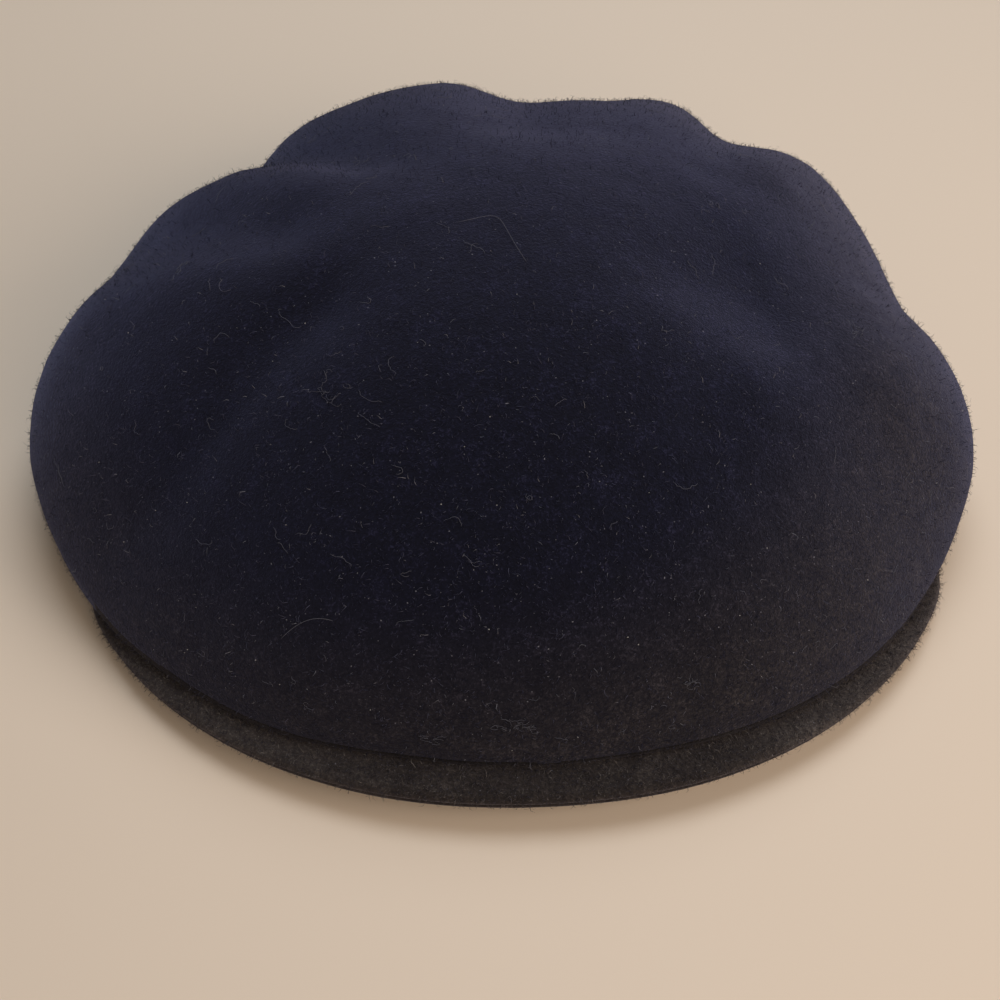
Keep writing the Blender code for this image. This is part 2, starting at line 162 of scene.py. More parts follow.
# The ribbon: its lap at the back, its ribs and its plain woven edges.
LAP_LENGTH = 0.012
LAP_STEP = 0.0012
LAP_RAMP = 0.010
RIBBON_RIBS = 600
RIBBON_POINTS_PER_RIB = 4
RIB_DEPTH = 0.00012
RIBBON_EDGE_WIDTH = 0.0012
RIBBON_EDGE_ROUND = 0.0001

# Sewing. A stitch is its length, the gap after it and its height over the cloth.
STITCH_POINTS = 6
STITCH_SINK = 0.6
THREAD_SIDES = 6
THREAD_RADIUS = 0.0002
THREAD_END_SIZE = 0.55
RIBBON_STITCH = (0.0026, 0.0012, 0.0004)
RIBBON_SEAM_HEIGHT = 0.0050
RIBBON_SEAM_SINK = 0.0001
RIBBON_SEAM_POINTS = 361
RIBBON_THREAD_RADIUS = 0.00022
# The zigzag over the ribbon's lap, up from above the seam to under the ribbon's upper edge.
ZIGZAG_LOW = 0.0090
ZIGZAG_UNDER_EDGE = 0.004
ZIGZAG_HALF_WIDTH = 0.0015
ZIGZAG_TURNS = 11
ZIGZAG_OFF_RIBBON = 0.0002
ZIGZAG_RISE = 0.00025
TACK_STITCH = (0.0030, 0.0050, 0.0003)
TACK_HALF_ANGLE = 52.0
TACK_POINTS = 121
TACK_INSET = 0.0032
TACK_OFF_PEAK = 0.0002
ROOT_STITCH = (0.0028, 0.0014, 0.0004)
ROOT_HALF_ANGLE = 70.0
ROOT_POINTS = 161
ROOT_INSET = 0.0008
ROOT_SEAM_SINK = 0.0001

# The tabs: cloth, the strip sewn down, and a soft curl and wave.
TAB_WIDTHS = {"size_label": 0.013, "care_label": 0.024}
TAB_SLOTS = {"size_label": "label", "care_label": "care_tape"}
TAB_THICKNESS = 0.00045
TAB_SEAM = 0.0018
TAB_CURL = 0.0008
TAB_WAVE = 0.0002
TAB_WAVE_ACROSS = 9.0
TAB_WAVE_DOWN = 4.0
TAB_COLUMNS = 16
TAB_ROWS = 14
TAB_EDGE_THINNING = 0.75
TAB_EDGE_POWER = 24
TAB_STITCH_SPACING = 0.0035
TAB_STITCH_SHARE = 0.6
TAB_STITCH_RISE = 0.0006
TAB_STITCH_SINK = 0.0002
TAB_THREAD_RADIUS = 0.00018

# What moves with the peak.
PEAK_NODES = ("peak_top_cover", "peak_under_cover", "crown_tack_thread", "peak_root_thread")

# Nap: how many wisps, how long and thick, how they lean and bend, and the share of each shade.
CROWN_NAP = 19500
PEAK_NAP = 9000
NAP_LENGTH = 0.0012
NAP_LENGTH_SPREAD = 0.45
NAP_LONGEST = 0.0030
NAP_RADIUS = 0.00008
NAP_ROOT = 0.00015
NAP_LEANS = (0.10, 1.2)
NAP_TIP_RISES = (-0.35, 0.6)
NAP_TIP_TURNS = (-1.2, 1.2)
NAP_FLATNESS = 0.6
NAP_TAPER = 0.7
NAP_SHADES = (0.38, 0.36, 0.22, 0.04)
# Where it grows: above the rim, and outwards from a heart inside the crown. The crown's nap is in
# two pieces, which meet at a y.
NAP_HEART_HEIGHT = 0.020
NAP_LOWEST = 0.004
NAP_PARTING = -0.035
UNDER_CROWN_NAP = 0.001
PEAK_NAP_LOWEST_NORMAL = -0.6

# Lint on the crown. Places are (azimuth, share of the way from the top to the widest ring).
# The crown's reach outwards and its length down its slope, as a fibre wanders over them.
CROWN_REACH = 0.12
CROWN_REACH_LEAST = 0.01
CROWN_SLOPE = 0.16
LINT_SHARES = (0.02, 0.97)
CURL_COUNT = 230
CURL_STEPS = 9
CURL_LENGTHS = (0.0018, 0.0055)
CURL_SQUARED_SHARES = (0.01, 0.80)
CURL_BEND = 0.55
CURL_STEADY_BEND = 0.4
CURL_RADIUS = 0.00005
CURL_SIDES = 3
CURL_LIFT = 0.0005
CURL_LIFT_SHARES = (0.3, 1.0)
FLUFFS = (
    # azimuth, share, spread in degrees, fibres
    (-2.0, 0.83, 0.9, 16),
    (-12.0, 0.88, 0.7, 6),
    (18.0, 0.78, 0.8, 6),
    (-41.0, 0.38, 1.6, 7),
    (75.0, 0.50, 1.2, 6),
    (-84.0, 0.45, 1.4, 5),
)
FLUFF_LENGTHS = (0.002, 0.005)
FLUFF_BEND = 0.8
FLUFF_SPREAD_DOWN = 0.008
HAIRS = (
    ((-52.0, 0.10), (-20.0, 0.02), (2.0, 0.14)),
    ((-31.0, 0.72), (-29.0, 0.665), (-25.5, 0.665)),
)
HAIR_RADIUS = 0.000055
HAIR_SIDES = 5
HAIR_STEPS = 14
HAIR_LIFT = 0.0003
HAIR_RISE = 0.0006
SPECK_COUNT = 90
SPECK_SIZES = (0.00010, 0.00024)
SPECK_SQUARED_SHARES = (0.01, 0.85)
SPECK_CORNERS = ((1, 0, 0), (-1, 0, 0), (0, 1, 0), (0, -1, 0), (0, 0, 1), (0, 0, -1))
SPECK_SIDES = (
    (0, 2, 4), (2, 1, 4), (1, 3, 4), (3, 0, 4), (2, 0, 5), (1, 2, 5), (3, 1, 5), (0, 3, 5)
)

# Felts: a heart (place, nearer and farther distance), the shades near it and the shades far from it,
# each of dark pits, tufts and bright strands, and the sheen and its tint. Near the heart the shades are painted
# shade, far from it painted light.
BLUISH = (0.51, 0.55, 1.0)
MAUVE = (0.82, 0.76, 0.92)
CROWN_SHADE_HEART = ((-0.018, -0.015, 0.085), 0.085, 0.142)
# Painted shade for the crease over the peak: a darker felt.
CREASE_PAINTED_SHADES = ((0.0030, 0.0024, 0.0020), (0.0100, 0.0082, 0.0070), (0.024, 0.020, 0.018))
FELT_LOOKS = {
    # Painted light on the crown: darker and bluer over the top, lighter and warmer out towards the front and
    # sides.
    "felt": (
        CROWN_SHADE_HEART,
        ((0.0003, 0.0003, 0.0018), (0.0014, 0.0016, 0.0072), (0.014, 0.014, 0.034)),
        ((0.0060, 0.0046, 0.0032), (0.0182, 0.0148, 0.0114), (0.042, 0.036, 0.031)),
        0.25,
        BLUISH,
    ),
    "crease_shade_felt": (CROWN_SHADE_HEART, CREASE_PAINTED_SHADES, CREASE_PAINTED_SHADES, 0.08, MAUVE),
    # Painted shade on the peak: its middle, in the crown's shade, is darker than its ends.
    "peak_felt": (
        ((0.006, -0.128, 0.010), 0.035, 0.075),
        ((0.0130, 0.0100, 0.0086), (0.0270, 0.0218, 0.0186), (0.060, 0.051, 0.045)),
        ((0.0250, 0.0205, 0.0185), (0.0520, 0.0440, 0.0390), (0.098, 0.086, 0.078)),
        0.20,
        MAUVE,
    ),
}
LINT_COLOUR = (0.16, 0.16, 0.19)
SHEEN_ROUGHNESS = 0.55
WOOL_SPECULAR = 0.10
# Noise: bumps to the metre, detail, roughness and distortion.
FELT_MOTTLE = (190.0, 3.0, 0.6, 0.0)
FELT_TUFTS = (1150.0, 3.0, 0.7, 0.4)
FELT_GRAIN = (2400.0, 1.0, 0.6, 0.0)
FELT_SPECKS = (1900.0, 0.0, 0.5, 0.0)
MOTTLE_SHARE = 0.34
TUFTS_SHARE = 0.70
GRAIN_SHARE = 0.30
# Ranges of the mixed noise over which pits turn to tufts and tufts to bright strands.
TUFT_RANGE = (0.54, 0.79)
STRAND_RANGE = (0.72, 0.88)
# Range of a noise and the values it is turned into.
SPECK_RANGE = (0.83, 0.88, 0.0, 0.9)
FELT_ROUGHNESS_RANGE = (0.3, 0.7, 0.98, 0.85)
FELT_BUMP = {"Distance": 0.0005, "Strength": 0.8}
PLAIN_BUMP = {"Distance": 0.0001, "Strength": 0.6}

# A colour mix node's sockets.
MIX_FIRST = 6
MIX_SECOND = 7
MIX_RESULT = 2

# Plain looks: colour, roughness, grain in bumps to the metre, spread of the colour, and sheen.
PLAIN_LOOKS = {
    "ribbon": ((0.006, 0.006, 0.009), 0.6, 2500.0, 0.4, 0.2),
    "thread": ((0.010, 0.010, 0.016), 0.6, 4000.0, 0.4, 0.1),
    "label": ((0.62, 0.61, 0.58), 0.5, 2600.0, 0.08, 0.0),
    "care_tape": ((0.70, 0.69, 0.66), 0.55, 2200.0, 0.07, 0.0),
    "board": ((0.72, 0.70, 0.66), 0.5, 300.0, 0.05, 0.0),
}
PLAIN_GRAIN_DETAIL = (4.0, 0.6)
PLAIN_GRAIN_RANGE = (0.3, 0.7)
PLAIN_ROUGHNESS_SPREAD = 0.08

# Single fibres.
NAP_COLOURS = ((0.004, 0.004, 0.008), (0.014, 0.014, 0.026), (0.050, 0.050, 0.074), (0.14, 0.14, 0.16))
PEAK_NAP_COLOURS = ((0.014, 0.011, 0.010), (0.034, 0.028, 0.025), (0.075, 0.064, 0.056), (0.14, 0.13, 0.12))
LINT_FIBRE_COLOUR = (0.10, 0.10, 0.115)
SPECK_COLOUR = (0.34, 0.34, 0.34)
FIBRE_ROUGHNESS = 0.9
FIBRE_SHEEN = 0.15

# Camera: where it stands, the way it faces round +Z, how far down it looks, and its roll.
CAMERA_PLACE = (-0.0218, -0.2918, 0.292)
CAMERA_HEADING = 4.0
CAMERA_PITCH = 47.46
CAMERA_ROLL = 1.62
CAMERA_LENS = 48.47
SENSOR_WIDTH = 36.0
CAMERA_NEAR = 0.01

# Light and floor.
LIGHTS = (
    # name, place, aimed at, size, watts, colour
    ("overhead", (0.15, 0.65, 1.25), (0.0, 0.0, 0.05), 1.1, 12.0, (0.86, 0.92, 1.0)),
    ("front", (0.42, -1.05, 0.66), (0.0, -0.05, 0.03), 0.9, 6.2, (1.0, 0.82, 0.66)),
    ("right", (1.0, -0.50, 0.58), (0.02, -0.02, 0.03), 0.8, 7.0, (1.0, 0.87, 0.77)),
)
WORLD_COLOUR = (0.95, 0.93, 0.90)
WORLD_STRENGTH = 0.12
FLOOR_COLOUR = (0.72, 0.60, 0.475)
FLOOR_ROUGHNESS = 0.6
FLOOR_SIZE = 12.0
FLOOR_GAP = 0.0004

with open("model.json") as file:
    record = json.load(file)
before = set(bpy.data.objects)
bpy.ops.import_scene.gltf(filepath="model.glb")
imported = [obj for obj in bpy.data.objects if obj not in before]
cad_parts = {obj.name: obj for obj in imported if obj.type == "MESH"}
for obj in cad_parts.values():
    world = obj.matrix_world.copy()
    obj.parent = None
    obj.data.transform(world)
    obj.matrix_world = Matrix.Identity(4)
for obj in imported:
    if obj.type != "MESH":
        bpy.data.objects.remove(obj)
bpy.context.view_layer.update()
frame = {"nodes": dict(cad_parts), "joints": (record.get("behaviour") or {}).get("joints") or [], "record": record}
MOUNTS = {mount["name"]: mount for mount in frame["record"]["mounts"]}
# The middle of the opening for the head.
PLACE = Vector(MOUNTS["head_opening"]["pos_m"])
RIM_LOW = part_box("crown_shell")[0].z
CROWN_TOP = RIM_LOW + CROWN_HEIGHT
RIBBON_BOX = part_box("sweatband")
OPENING_HALF_WIDTH = 0.5 * (RIBBON_BOX[1].x - RIBBON_BOX[0].x) - RIBBON_THICKNESS
OPENING_HALF_LENGTH = 0.5 * (RIBBON_BOX[1].y - RIBBON_BOX[0].y) - RIBBON_THICKNESS


def ease(value):
    """0 below 0, 1 above 1, and smooth between."""
    value = min(max(value, 0.0), 1.0)
    return value * value * (3.0 - 2.0 * value)


def spline(place, places, values):
    """A smooth value at a place between the second and the third of four places."""
    span = places[2] - places[1]
    slopes = [(values[i + 2] - values[i]) / (places[i + 2] - places[i]) for i in (0, 1)]
    t = (place - places[1]) / span
    return (
        (2 * t**3 - 3 * t**2 + 1) * values[1]
        + (t**3 - 2 * t**2 + t) * span * slopes[0]
        + (3 * t**2 - 2 * t**3) * values[2]
        + (t**3 - t**2) * span * slopes[1]
    )


def around(azimuth, rows, column):
    """A smooth value round the whole turn, through the rows of a table that starts at -180."""
    azimuth = (azimuth + 180.0) % 360.0 - 180.0
    last = max(i for i in range(len(rows)) if rows[i][0] <= azimuth)
    picks = [divmod(last + step, len(rows)) for step in (-1, 0, 1, 2)]
    places = [rows[index][0] + 360.0 * turns for turns, index in picks]
    return spline(azimuth, places, [rows[index][column] for _, index in picks])


def between(azimuth, rows):
    """A smooth value either side of the middle, from a table that starts at 0."""
    azimuth = min(abs(azimuth), rows[-1][0])
    mirrored = [(-a, v) for a, v in reversed(rows[1:])] + list(rows)
    last = max(i for i in range(len(mirrored) - 1) if mirrored[i][0] <= azimuth)
    ends = [mirrored[max(0, min(len(mirrored) - 1, last + step))] for step in (-1, 0, 1, 2)]
    return spline(azimuth, [a for a, _ in ends], [v for _, v in ends])


def placed(azimuth, radius, height):
    """A point at an azimuth, a radius from the middle of the opening, and a height over the rim."""
    angle = math.radians(azimuth)
    return Vector(
        (PLACE.x + radius * math.sin(angle), PLACE.y - radius * math.cos(angle), RIM_LOW + height)
    )


def oval_radius(azimuth, grown):
    """The radius of the opening's oval, grown outwards by a distance."""
    angle = math.radians(azimuth)
    half_width = OPENING_HALF_WIDTH + grown
    half_length = OPENING_HALF_LENGTH + grown
    return 1.0 / math.hypot(math.sin(angle) / half_width, math.cos(angle) / half_length)


def wall_radius(azimuth):
    """The outside of the felt rim."""
    return oval_radius(azimuth, RIBBON_THICKNESS + LAYER_GAP + FELT_THICKNESS)


def peak_inner(azimuth):
    """The peak's root, just outside the rim."""
    return wall_radius(azimuth) + PEAK_ROOT_GAP


def peak_base_height(azimuth, radius):
    """The underside of the peak: arched across and drooping a little towards its edge."""
    across = math.cos(math.radians(90.0 * azimuth / PEAK_HALF_ANGLE)) ** 2
    inner = peak_inner(azimuth)
    out = (radius - inner) / (between(azimuth, PEAK_OUTER) - inner)
    return PEAK_BASE + PEAK_ARCH * across - PEAK_DROOP * min(max(out, 0.0), 1.0)


def crown_column(azimuth):
    """One line of the crown from its top to the rim: (point, how much of the folds reaches it)."""
    radius = around(azimuth, CROWN_OUTLINE, 1)
    bulge = around(azimuth, CROWN_OUTLINE, 2)
    wall = wall_radius(azimuth)
    off_front = abs((azimuth + 180.0) % 360.0 - 180.0)
    front = 1.0 - ease((off_front - FRONT_HALF_ANGLE) / FRONT_BLEND_ANGLE)
    power = SHOULDER_POWER_FRONT * front + SHOULDER_POWER_BACK * (1.0 - front)
    corner = UNDER_CORNER_FRONT * front + UNDER_CORNER_BACK * (1.0 - front)
    on_peak = min(off_front, PEAK_HALF_ANGLE)
    low = BACK_WALL_HEIGHT * (1.0 - front)
    low += (peak_base_height(on_peak, 0.0) + PEAK_THICKNESS + CROWN_ON_PEAK_GAP) * front
    top = CROWN_TOP - RIM_LOW
    column = []
    for ring in range(CROWN_TOP_RINGS + 1):
        angle = 0.5 * math.pi * ring / CROWN_TOP_RINGS
        rise = max(math.cos(angle), 0.0) ** power
        height = bulge + (top - bulge) * rise
        column.append((placed(azimuth, radius * math.sin(angle), height), 1.0))
    for ring in range(1, CROWN_UNDER_RINGS + 1):
        angle = 0.5 * math.pi * ring / CROWN_UNDER_RINGS
        reach = max(math.cos(angle), 0.0) ** (2.0 / corner)
        drop = math.sin(angle) ** (2.0 / corner)
        height = bulge + (low - PEAK_DROOP * reach * front - bulge) * drop
        fold = 1.0 - ease(FOLD_FADE_UNDER * ring / CROWN_UNDER_RINGS)
        column.append((placed(azimuth, wall + (radius - wall) * reach, height), fold))
    for ring in range(1, CROWN_WALL_RINGS + 1):
        column.append((placed(azimuth, wall, low * (1.0 - ring / CROWN_WALL_RINGS)), 0.0))
    return column


def fold_heights(points):
    """How far the folds lift or sink the crown at each of many points, seen in plan."""
    plan = points[:, :2] - np.array(PLACE[:2])
    total = np.zeros(len(points))
    for start, end, half_widths, heights in CROWN_FOLDS:
        start = np.array(start)
        along = np.array(end) - start
        offset = plan - start
        share = np.clip(offset @ along / (along @ along), 0.0, 1.0)
        distance = np.linalg.norm(offset - share[:, None] * along, axis=1)
        leftwards = (offset[:, 1] * along[0] - offset[:, 0] * along[1]) / np.linalg.norm(along)
        side = 0.5 + 0.5 * np.tanh(leftwards / FOLD_SIDE_BLEND)
        half_width = half_widths[1] + (half_widths[0] - half_widths[1]) * side
        height = heights[0] + (heights[1] - heights[0]) * share
        total += height * np.exp(-((distance / half_width) ** 2))
    return total


def unit(ways):
    """Many ways, each scaled to length 1."""
    return ways / np.linalg.norm(ways, axis=1, keepdims=True)


def dome_ways(points):
    """The way out of the crown at each of many points, as if it were a plain low dome."""
    heart = np.array((PLACE.x, PLACE.y, RIM_LOW + DOME_HEART_HEIGHT))
    ways = (points - heart) / np.array(DOME_HALF_SIZES) ** 2
    ways[:, 2] = np.maximum(ways[:, 2], 0.0)
    return unit(ways)


def felt_unevenness(points):
    """Small soft bumps of the felt at each of many points."""
    total = np.zeros(len(points))
    for size, height in FELT_WAVES:
        total += height * np.array([noise.noise(Vector(point) / size) for point in points])
    return total


def grid_normals(grid):
    """Outward normals of a grid of points, [column][ring], closed round its columns."""
    down = np.gradient(grid, axis=1)
    across = np.roll(grid, -1, axis=0) - np.roll(grid, 1, axis=0)
    normals = np.cross(down, across)
    lengths = np.linalg.norm(normals, axis=2, keepdims=True)
    normals = normals / np.maximum(lengths, 1e-12)
    normals[:, 0] = (0.0, 0.0, 1.0)
    return normals


def crown_outside():
    """The crown's outside as a grid of points, [column][ring], and its normals."""
    columns = [crown_column(-180.0 + 360.0 * i / CROWN_COLUMNS) for i in range(CROWN_COLUMNS)]
    grid = np.array([[point for point, _ in column] for column in columns])
    shares = np.array([[share for _, share in column] for column in columns])
    flat = grid.reshape(-1, 3)
    lift = fold_heights(flat) * shares.ravel()
    grid = grid + (dome_ways(flat) * lift[:, None]).reshape(grid.shape)
    soft = felt_unevenness(grid.reshape(-1, 3)) * np.minimum(shares.ravel() * 2.0, 1.0)
    grid = grid + grid_normals(grid) * soft.reshape(shares.shape)[..., None]
    return grid, grid_normals(grid)


def add_object(name, data):
    """A new object in the scene."""
    added = bpy.data.objects.new(name, data)
    bpy.context.scene.collection.objects.link(added)
    return added


def mesh_object(name, vertices, faces, material, smooth=True):
    """A new mesh in the scene, in one material."""
    mesh = bpy.data.meshes.new(name)
    mesh.from_pydata([tuple(map(float, vertex)) for vertex in vertices], [], faces)
    mesh.update()
    mesh.polygons.foreach_set("use_smooth", [smooth] * len(mesh.polygons))
    mesh.materials.append(material)
    return add_object(name, mesh)


def make_crown(material):
    """The seamless felt crown: outside, rounded rim and inside in one closed surface."""
    outside, normals = crown_outside()
    inside = outside - normals * FELT_THICKNESS
    rim_outer = outside[:, -1]
    rim_inner = rim_outer + (inside[:, -2] - outside[:, -2])
    rim_inner[:, 2] = rim_outer[:, 2]
    inside[:, -1] = rim_inner
    arc = []
    for step in range(1, CROWN_RIM_ARC):
        angle = math.pi * step / CROWN_RIM_ARC
        share = 0.5 - 0.5 * math.cos(angle)
        arc.append(rim_outer * (1 - share) + rim_inner * share)
    outside[:, -1, 2] += RIM_EDGE_LIFT
    inside[:, -1, 2] += RIM_EDGE_LIFT
    columns = [
        np.concatenate([outside[i, 1:], [row[i] for row in arc], inside[i, :0:-1]])
        for i in range(CROWN_COLUMNS)
    ]
    per_column = len(columns[0])
    vertices = [outside[0, 0], inside[0, 0]] + [point for column in columns for point in column]
    faces = []
    for i in range(CROWN_COLUMNS):
        here = 2 + i * per_column
        there = 2 + (i + 1) % CROWN_COLUMNS * per_column
        faces.append((0, here, there))
        for ring in range(per_column - 1):
            faces.append((here + ring, here + ring + 1, there + ring + 1, there + ring))
        faces.append((1, there + per_column - 1, here + per_column - 1))
    return mesh_object("felt_crown", vertices, faces, material)


def paint_crease_shade(crown, material):
    """Paints shade on the low front edge of the crown, which closes on the peak: a darker felt with little sheen.
    """
    crown.data.materials.append(material)
    for face in crown.data.polygons:
        azimuth = math.degrees(math.atan2(face.center.x - PLACE.x, PLACE.y - face.center.y))
        if abs(azimuth) < CREASE_SHADE_HALF_ANGLE and face.center.z < RIM_LOW + CREASE_SHADE_HEIGHT:
            face.material_index = 1


def skin(count, sides):
    """The faces through a count of loops of corners, one after another, with flat ends."""
    faces = [tuple(range(sides))]
    for first in range(0, (count - 1) * sides, sides):
        second = first + sides
        for corner in range(sides):
            after = (corner + 1) % sides
            faces.append((first + corner, second + corner, second + after, first + after))
    last = (count - 1) * sides
    faces.append(tuple(last + corner for corner in reversed(range(sides))))
    return faces


def loft(name, sections, material):
    """A closed body through loops of points of the same count."""
    vertices = [point for section in sections for point in section]
    return mesh_object(name, vertices, skin(len(sections), len(sections[0])), material)


def arc_points(centre_radius, centre_level, half_width, half_height, arc):
    """Points on an arc across the peak: its start and end in degrees up from straight out, steps."""
    start, end, steps = arc
    points = []
    for step in range(steps + 1):
        angle = math.radians(start + (end - start) * step / steps)
        points.append(
            (centre_radius + half_width * math.cos(angle), centre_level + half_height * math.sin(angle))
        )
    return points


def upper_cover(inner, outer):
    """Across the upper cover: flat on the board, round over the edge, with a lip below it."""
    lip = min(PEAK_LIP, PEAK_LIP_SHARE * (outer - inner))
    low = PEAK_THICKNESS - COVER_THICKNESS
    lip_low = COVER_THICKNESS + LAYER_GAP
    edge = outer - min(PEAK_ROUND, PEAK_ROUND_SHARE * (outer - inner))
    points = [(inner, low), (0.5 * (inner + outer), low), (outer - lip, low), (outer - lip, lip_low)]
    middle = 0.5 * (lip_low + PEAK_THICKNESS)
    points += arc_points(edge, middle, outer - edge, PEAK_THICKNESS - middle, PEAK_ROUND_ARC)
    shares = [step / PEAK_TOP_STEPS for step in range(1, PEAK_TOP_STEPS + 1)]
    return points + [(edge + (inner - edge) * share, PEAK_THICKNESS) for share in shares]


def lower_cover(inner, outer):
    """Across the lower cover, which is set back a little inside the upper one's lip."""
    outer = max(outer - UNDERSIDE_INSET, inner + UNDERSIDE_LEAST_WIDTH)
    half = 0.5 * COVER_THICKNESS
    reach = min(half, UNDERSIDE_ROUND_SHARE * (outer - inner))
    edge = outer - reach
    shares = [step / UNDERSIDE_STEPS for step in range(UNDERSIDE_STEPS + 1)]
    points = [(inner + (edge - inner) * share, 0.0) for share in shares]
    points += arc_points(edge, half, reach, half, UNDERSIDE_ROUND_ARC)
    return points + [(edge + (inner - edge) * share, COVER_THICKNESS) for share in shares]


def peak_cover(name, points_across, material):
    """A cover of the peak, through its points across from the peak's root to its outer edge."""
    sections = []
    for step in range(PEAK_COLUMNS + 1):
        azimuth = PEAK_HALF_ANGLE * (2.0 * step / PEAK_COLUMNS - 1.0)
        points = points_across(peak_inner(azimuth), between(azimuth, PEAK_OUTER))
        sections.append(
            [placed(azimuth, r, peak_base_height(azimuth, r) + level) for r, level in points]
        )
    return loft(name, sections, material)


def tube(points, radius, sides):
    """The corners of a round tube through points, its two ends drawn in."""
    points = [Vector(point) for point in points]
    last = len(points) - 1
    corners = []
    normal = None
    for index, point in enumerate(points):
        along = (points[min(index + 1, last)] - points[max(index - 1, 0)]).normalized()
        if normal is None:
            normal = along.orthogonal().normalized()
        normal = (normal - along * normal.dot(along)).normalized()
        side = along.cross(normal)
        size = radius * (THREAD_END_SIZE if index in (0, last) else 1.0)
        for corner in range(sides):
            angle = -2.0 * math.pi * corner / sides
            corners.append(point + (normal * math.cos(angle) + side * math.sin(angle)) * size)
    return corners


def joined_tubes(name, runs, radius, sides, material):
    """One object out of many tubes."""
    vertices = []
    faces = []
    for run in runs:
        first = len(vertices)
        faces += [tuple(first + corner for corner in face) for face in skin(len(run), sides)]
        vertices += tube(run, radius, sides)
    return mesh_object(name, vertices, faces, material)


def stitch_runs(path, out, stitch):
    """Splits a path into stitches that rise from the cloth and dip back in.

    out gives each point's way up from the cloth.
    """
    length, gap, height = stitch
    path, out = np.array(path), np.array(out)
    lengths = np.linalg.norm(np.diff(path, axis=0), axis=1)
    along = np.concatenate([[0.0], np.cumsum(lengths)])
    shares = np.linspace(0.0, 1.0, STITCH_POINTS)
    rise = np.sqrt(np.abs(np.sin(math.pi * shares)))
    runs = []
    for begin in np.arange(0.5 * gap, along[-1] - length, length + gap):
        stops = begin + length * shares
        run = np.transpose([np.interp(stops, along, path[:, axis]) for axis in range(3)])
        up = np.transpose([np.interp(stops, along, out[:, axis]) for axis in range(3)])
        runs.append(run + up * (height * (rise - STITCH_SINK))[:, None])
    return runs


def ribbon_inner(azimuth, along, circumference):
    """The ribbon's inside, which steps in over its own start at the lap."""
    start = circumference - LAP_RAMP
    return oval_radius(azimuth, -LAP_STEP * ease((along - start) / LAP_RAMP))


def make_ribbon(material):
    """The grosgrain sweatband: fine upright ribs, plain woven edges, its end lapped over its start."""
    mean_radius = math.sqrt(0.5 * (OPENING_HALF_WIDTH**2 + OPENING_HALF_LENGTH**2))
    circumference = 2.0 * math.pi * mean_radius
    total = circumference + LAP_LENGTH
    count = RIBBON_RIBS * RIBBON_POINTS_PER_RIB
    low = RIBBON_BOX[0].z - RIM_LOW
    high = RIBBON_BOX[1].z - RIM_LOW
    sections = []
    for step in range(count + 1):
        along = total * step / count
        azimuth = -180.0 + 360.0 * (along - 0.5 * LAP_LENGTH) / circumference
        inner = ribbon_inner(azimuth, along, circumference)
        rib = RIB_DEPTH * (0.5 - 0.5 * math.cos(2.0 * math.pi * step / RIBBON_POINTS_PER_RIB))
        outer = inner + RIBBON_THICKNESS
        corners = (
            (inner + RIB_DEPTH, low + RIBBON_EDGE_ROUND),
            (outer - RIB_DEPTH, low),
            (outer - rib, low + RIBBON_EDGE_WIDTH),
            (outer - rib, high - RIBBON_EDGE_WIDTH),
            (outer - RIB_DEPTH, high),
            (inner + RIB_DEPTH, high - RIBBON_EDGE_ROUND),
            (inner + rib, high - RIBBON_EDGE_WIDTH),
            (inner + rib, low + RIBBON_EDGE_WIDTH),
        )
        sections.append([placed(azimuth, radius, height) for radius, height in corners])
    return loft("ribbon_sweatband", sections, material)


def make_ribbon_seam(material):
    """The row that sews the ribbon to the rim, on the inside of the ribbon and its lap."""
    path = []
    ways = []
    for azimuth in np.linspace(0.0, 360.0, RIBBON_SEAM_POINTS):
        arc = math.radians((azimuth + 360.0) % 360.0 - 180.0) * OPENING_HALF_WIDTH
        step = LAP_STEP * ease(1.0 - (abs(arc) - LAP_LENGTH) / LAP_RAMP)
        radius = oval_radius(azimuth, -RIBBON_SEAM_SINK - step)
        path.append(placed(azimuth, radius, RIBBON_SEAM_HEIGHT))
        angle = math.radians(azimuth)
        ways.append(Vector((-math.sin(angle), math.cos(angle), 0.0)))
    runs = stitch_runs(path, ways, RIBBON_STITCH)
    return joined_tubes("ribbon_stitches", runs, RIBBON_THREAD_RADIUS, THREAD_SIDES, material)


def make_ribbon_zigzag(material):
    """The zigzag that sews the ribbon's end over its start."""
    high = RIBBON_BOX[1].z - RIM_LOW - ZIGZAG_UNDER_EDGE
    back = PLACE.y + oval_radius(180.0, -LAP_STEP - ZIGZAG_OFF_RIBBON)
    corners = []
    for step in range(ZIGZAG_TURNS + 1):
        side = ZIGZAG_HALF_WIDTH * (1 if step % 2 else -1)
        height = ZIGZAG_LOW + (high - ZIGZAG_LOW) * step / ZIGZAG_TURNS
        corners.append(Vector((PLACE.x + side, back, RIM_LOW + height)))
    runs = []
    for start, end in zip(corners, corners[1:]):
        middle = start.lerp(end, 0.5)
        middle.y -= ZIGZAG_RISE
        runs.append([start, start.lerp(middle, 0.6), middle, middle.lerp(end, 0.4), end])
    return joined_tubes("ribbon_join_stitches", runs, THREAD_RADIUS, THREAD_SIDES, material)


def tack_place(azimuth):
    """Where the crown is tacked down on the peak, just inside its front edge."""
    radius = around(azimuth, CROWN_OUTLINE, 1) - TACK_INSET
    base = peak_base_height(azimuth, radius)
    return placed(azimuth, radius, base + PEAK_THICKNESS + TACK_OFF_PEAK)


def root_place(azimuth):
    """Where the peak is sewn on, under its root."""
    radius = peak_inner(azimuth) + ROOT_INSET
    return placed(azimuth, radius, peak_base_height(azimuth, radius) - ROOT_SEAM_SINK)


def make_peak_seam(name, place_at, half_angle, count, up, stitch, material):
    """A row of stitches along the peak, which stand up or down from it."""
    path = [place_at(azimuth) for azimuth in np.linspace(-half_angle, half_angle, count)]
    runs = stitch_runs(path, [Vector((0.0, 0.0, up))] * count, stitch)
    return joined_tubes(name, runs, THREAD_RADIUS, THREAD_SIDES, material)


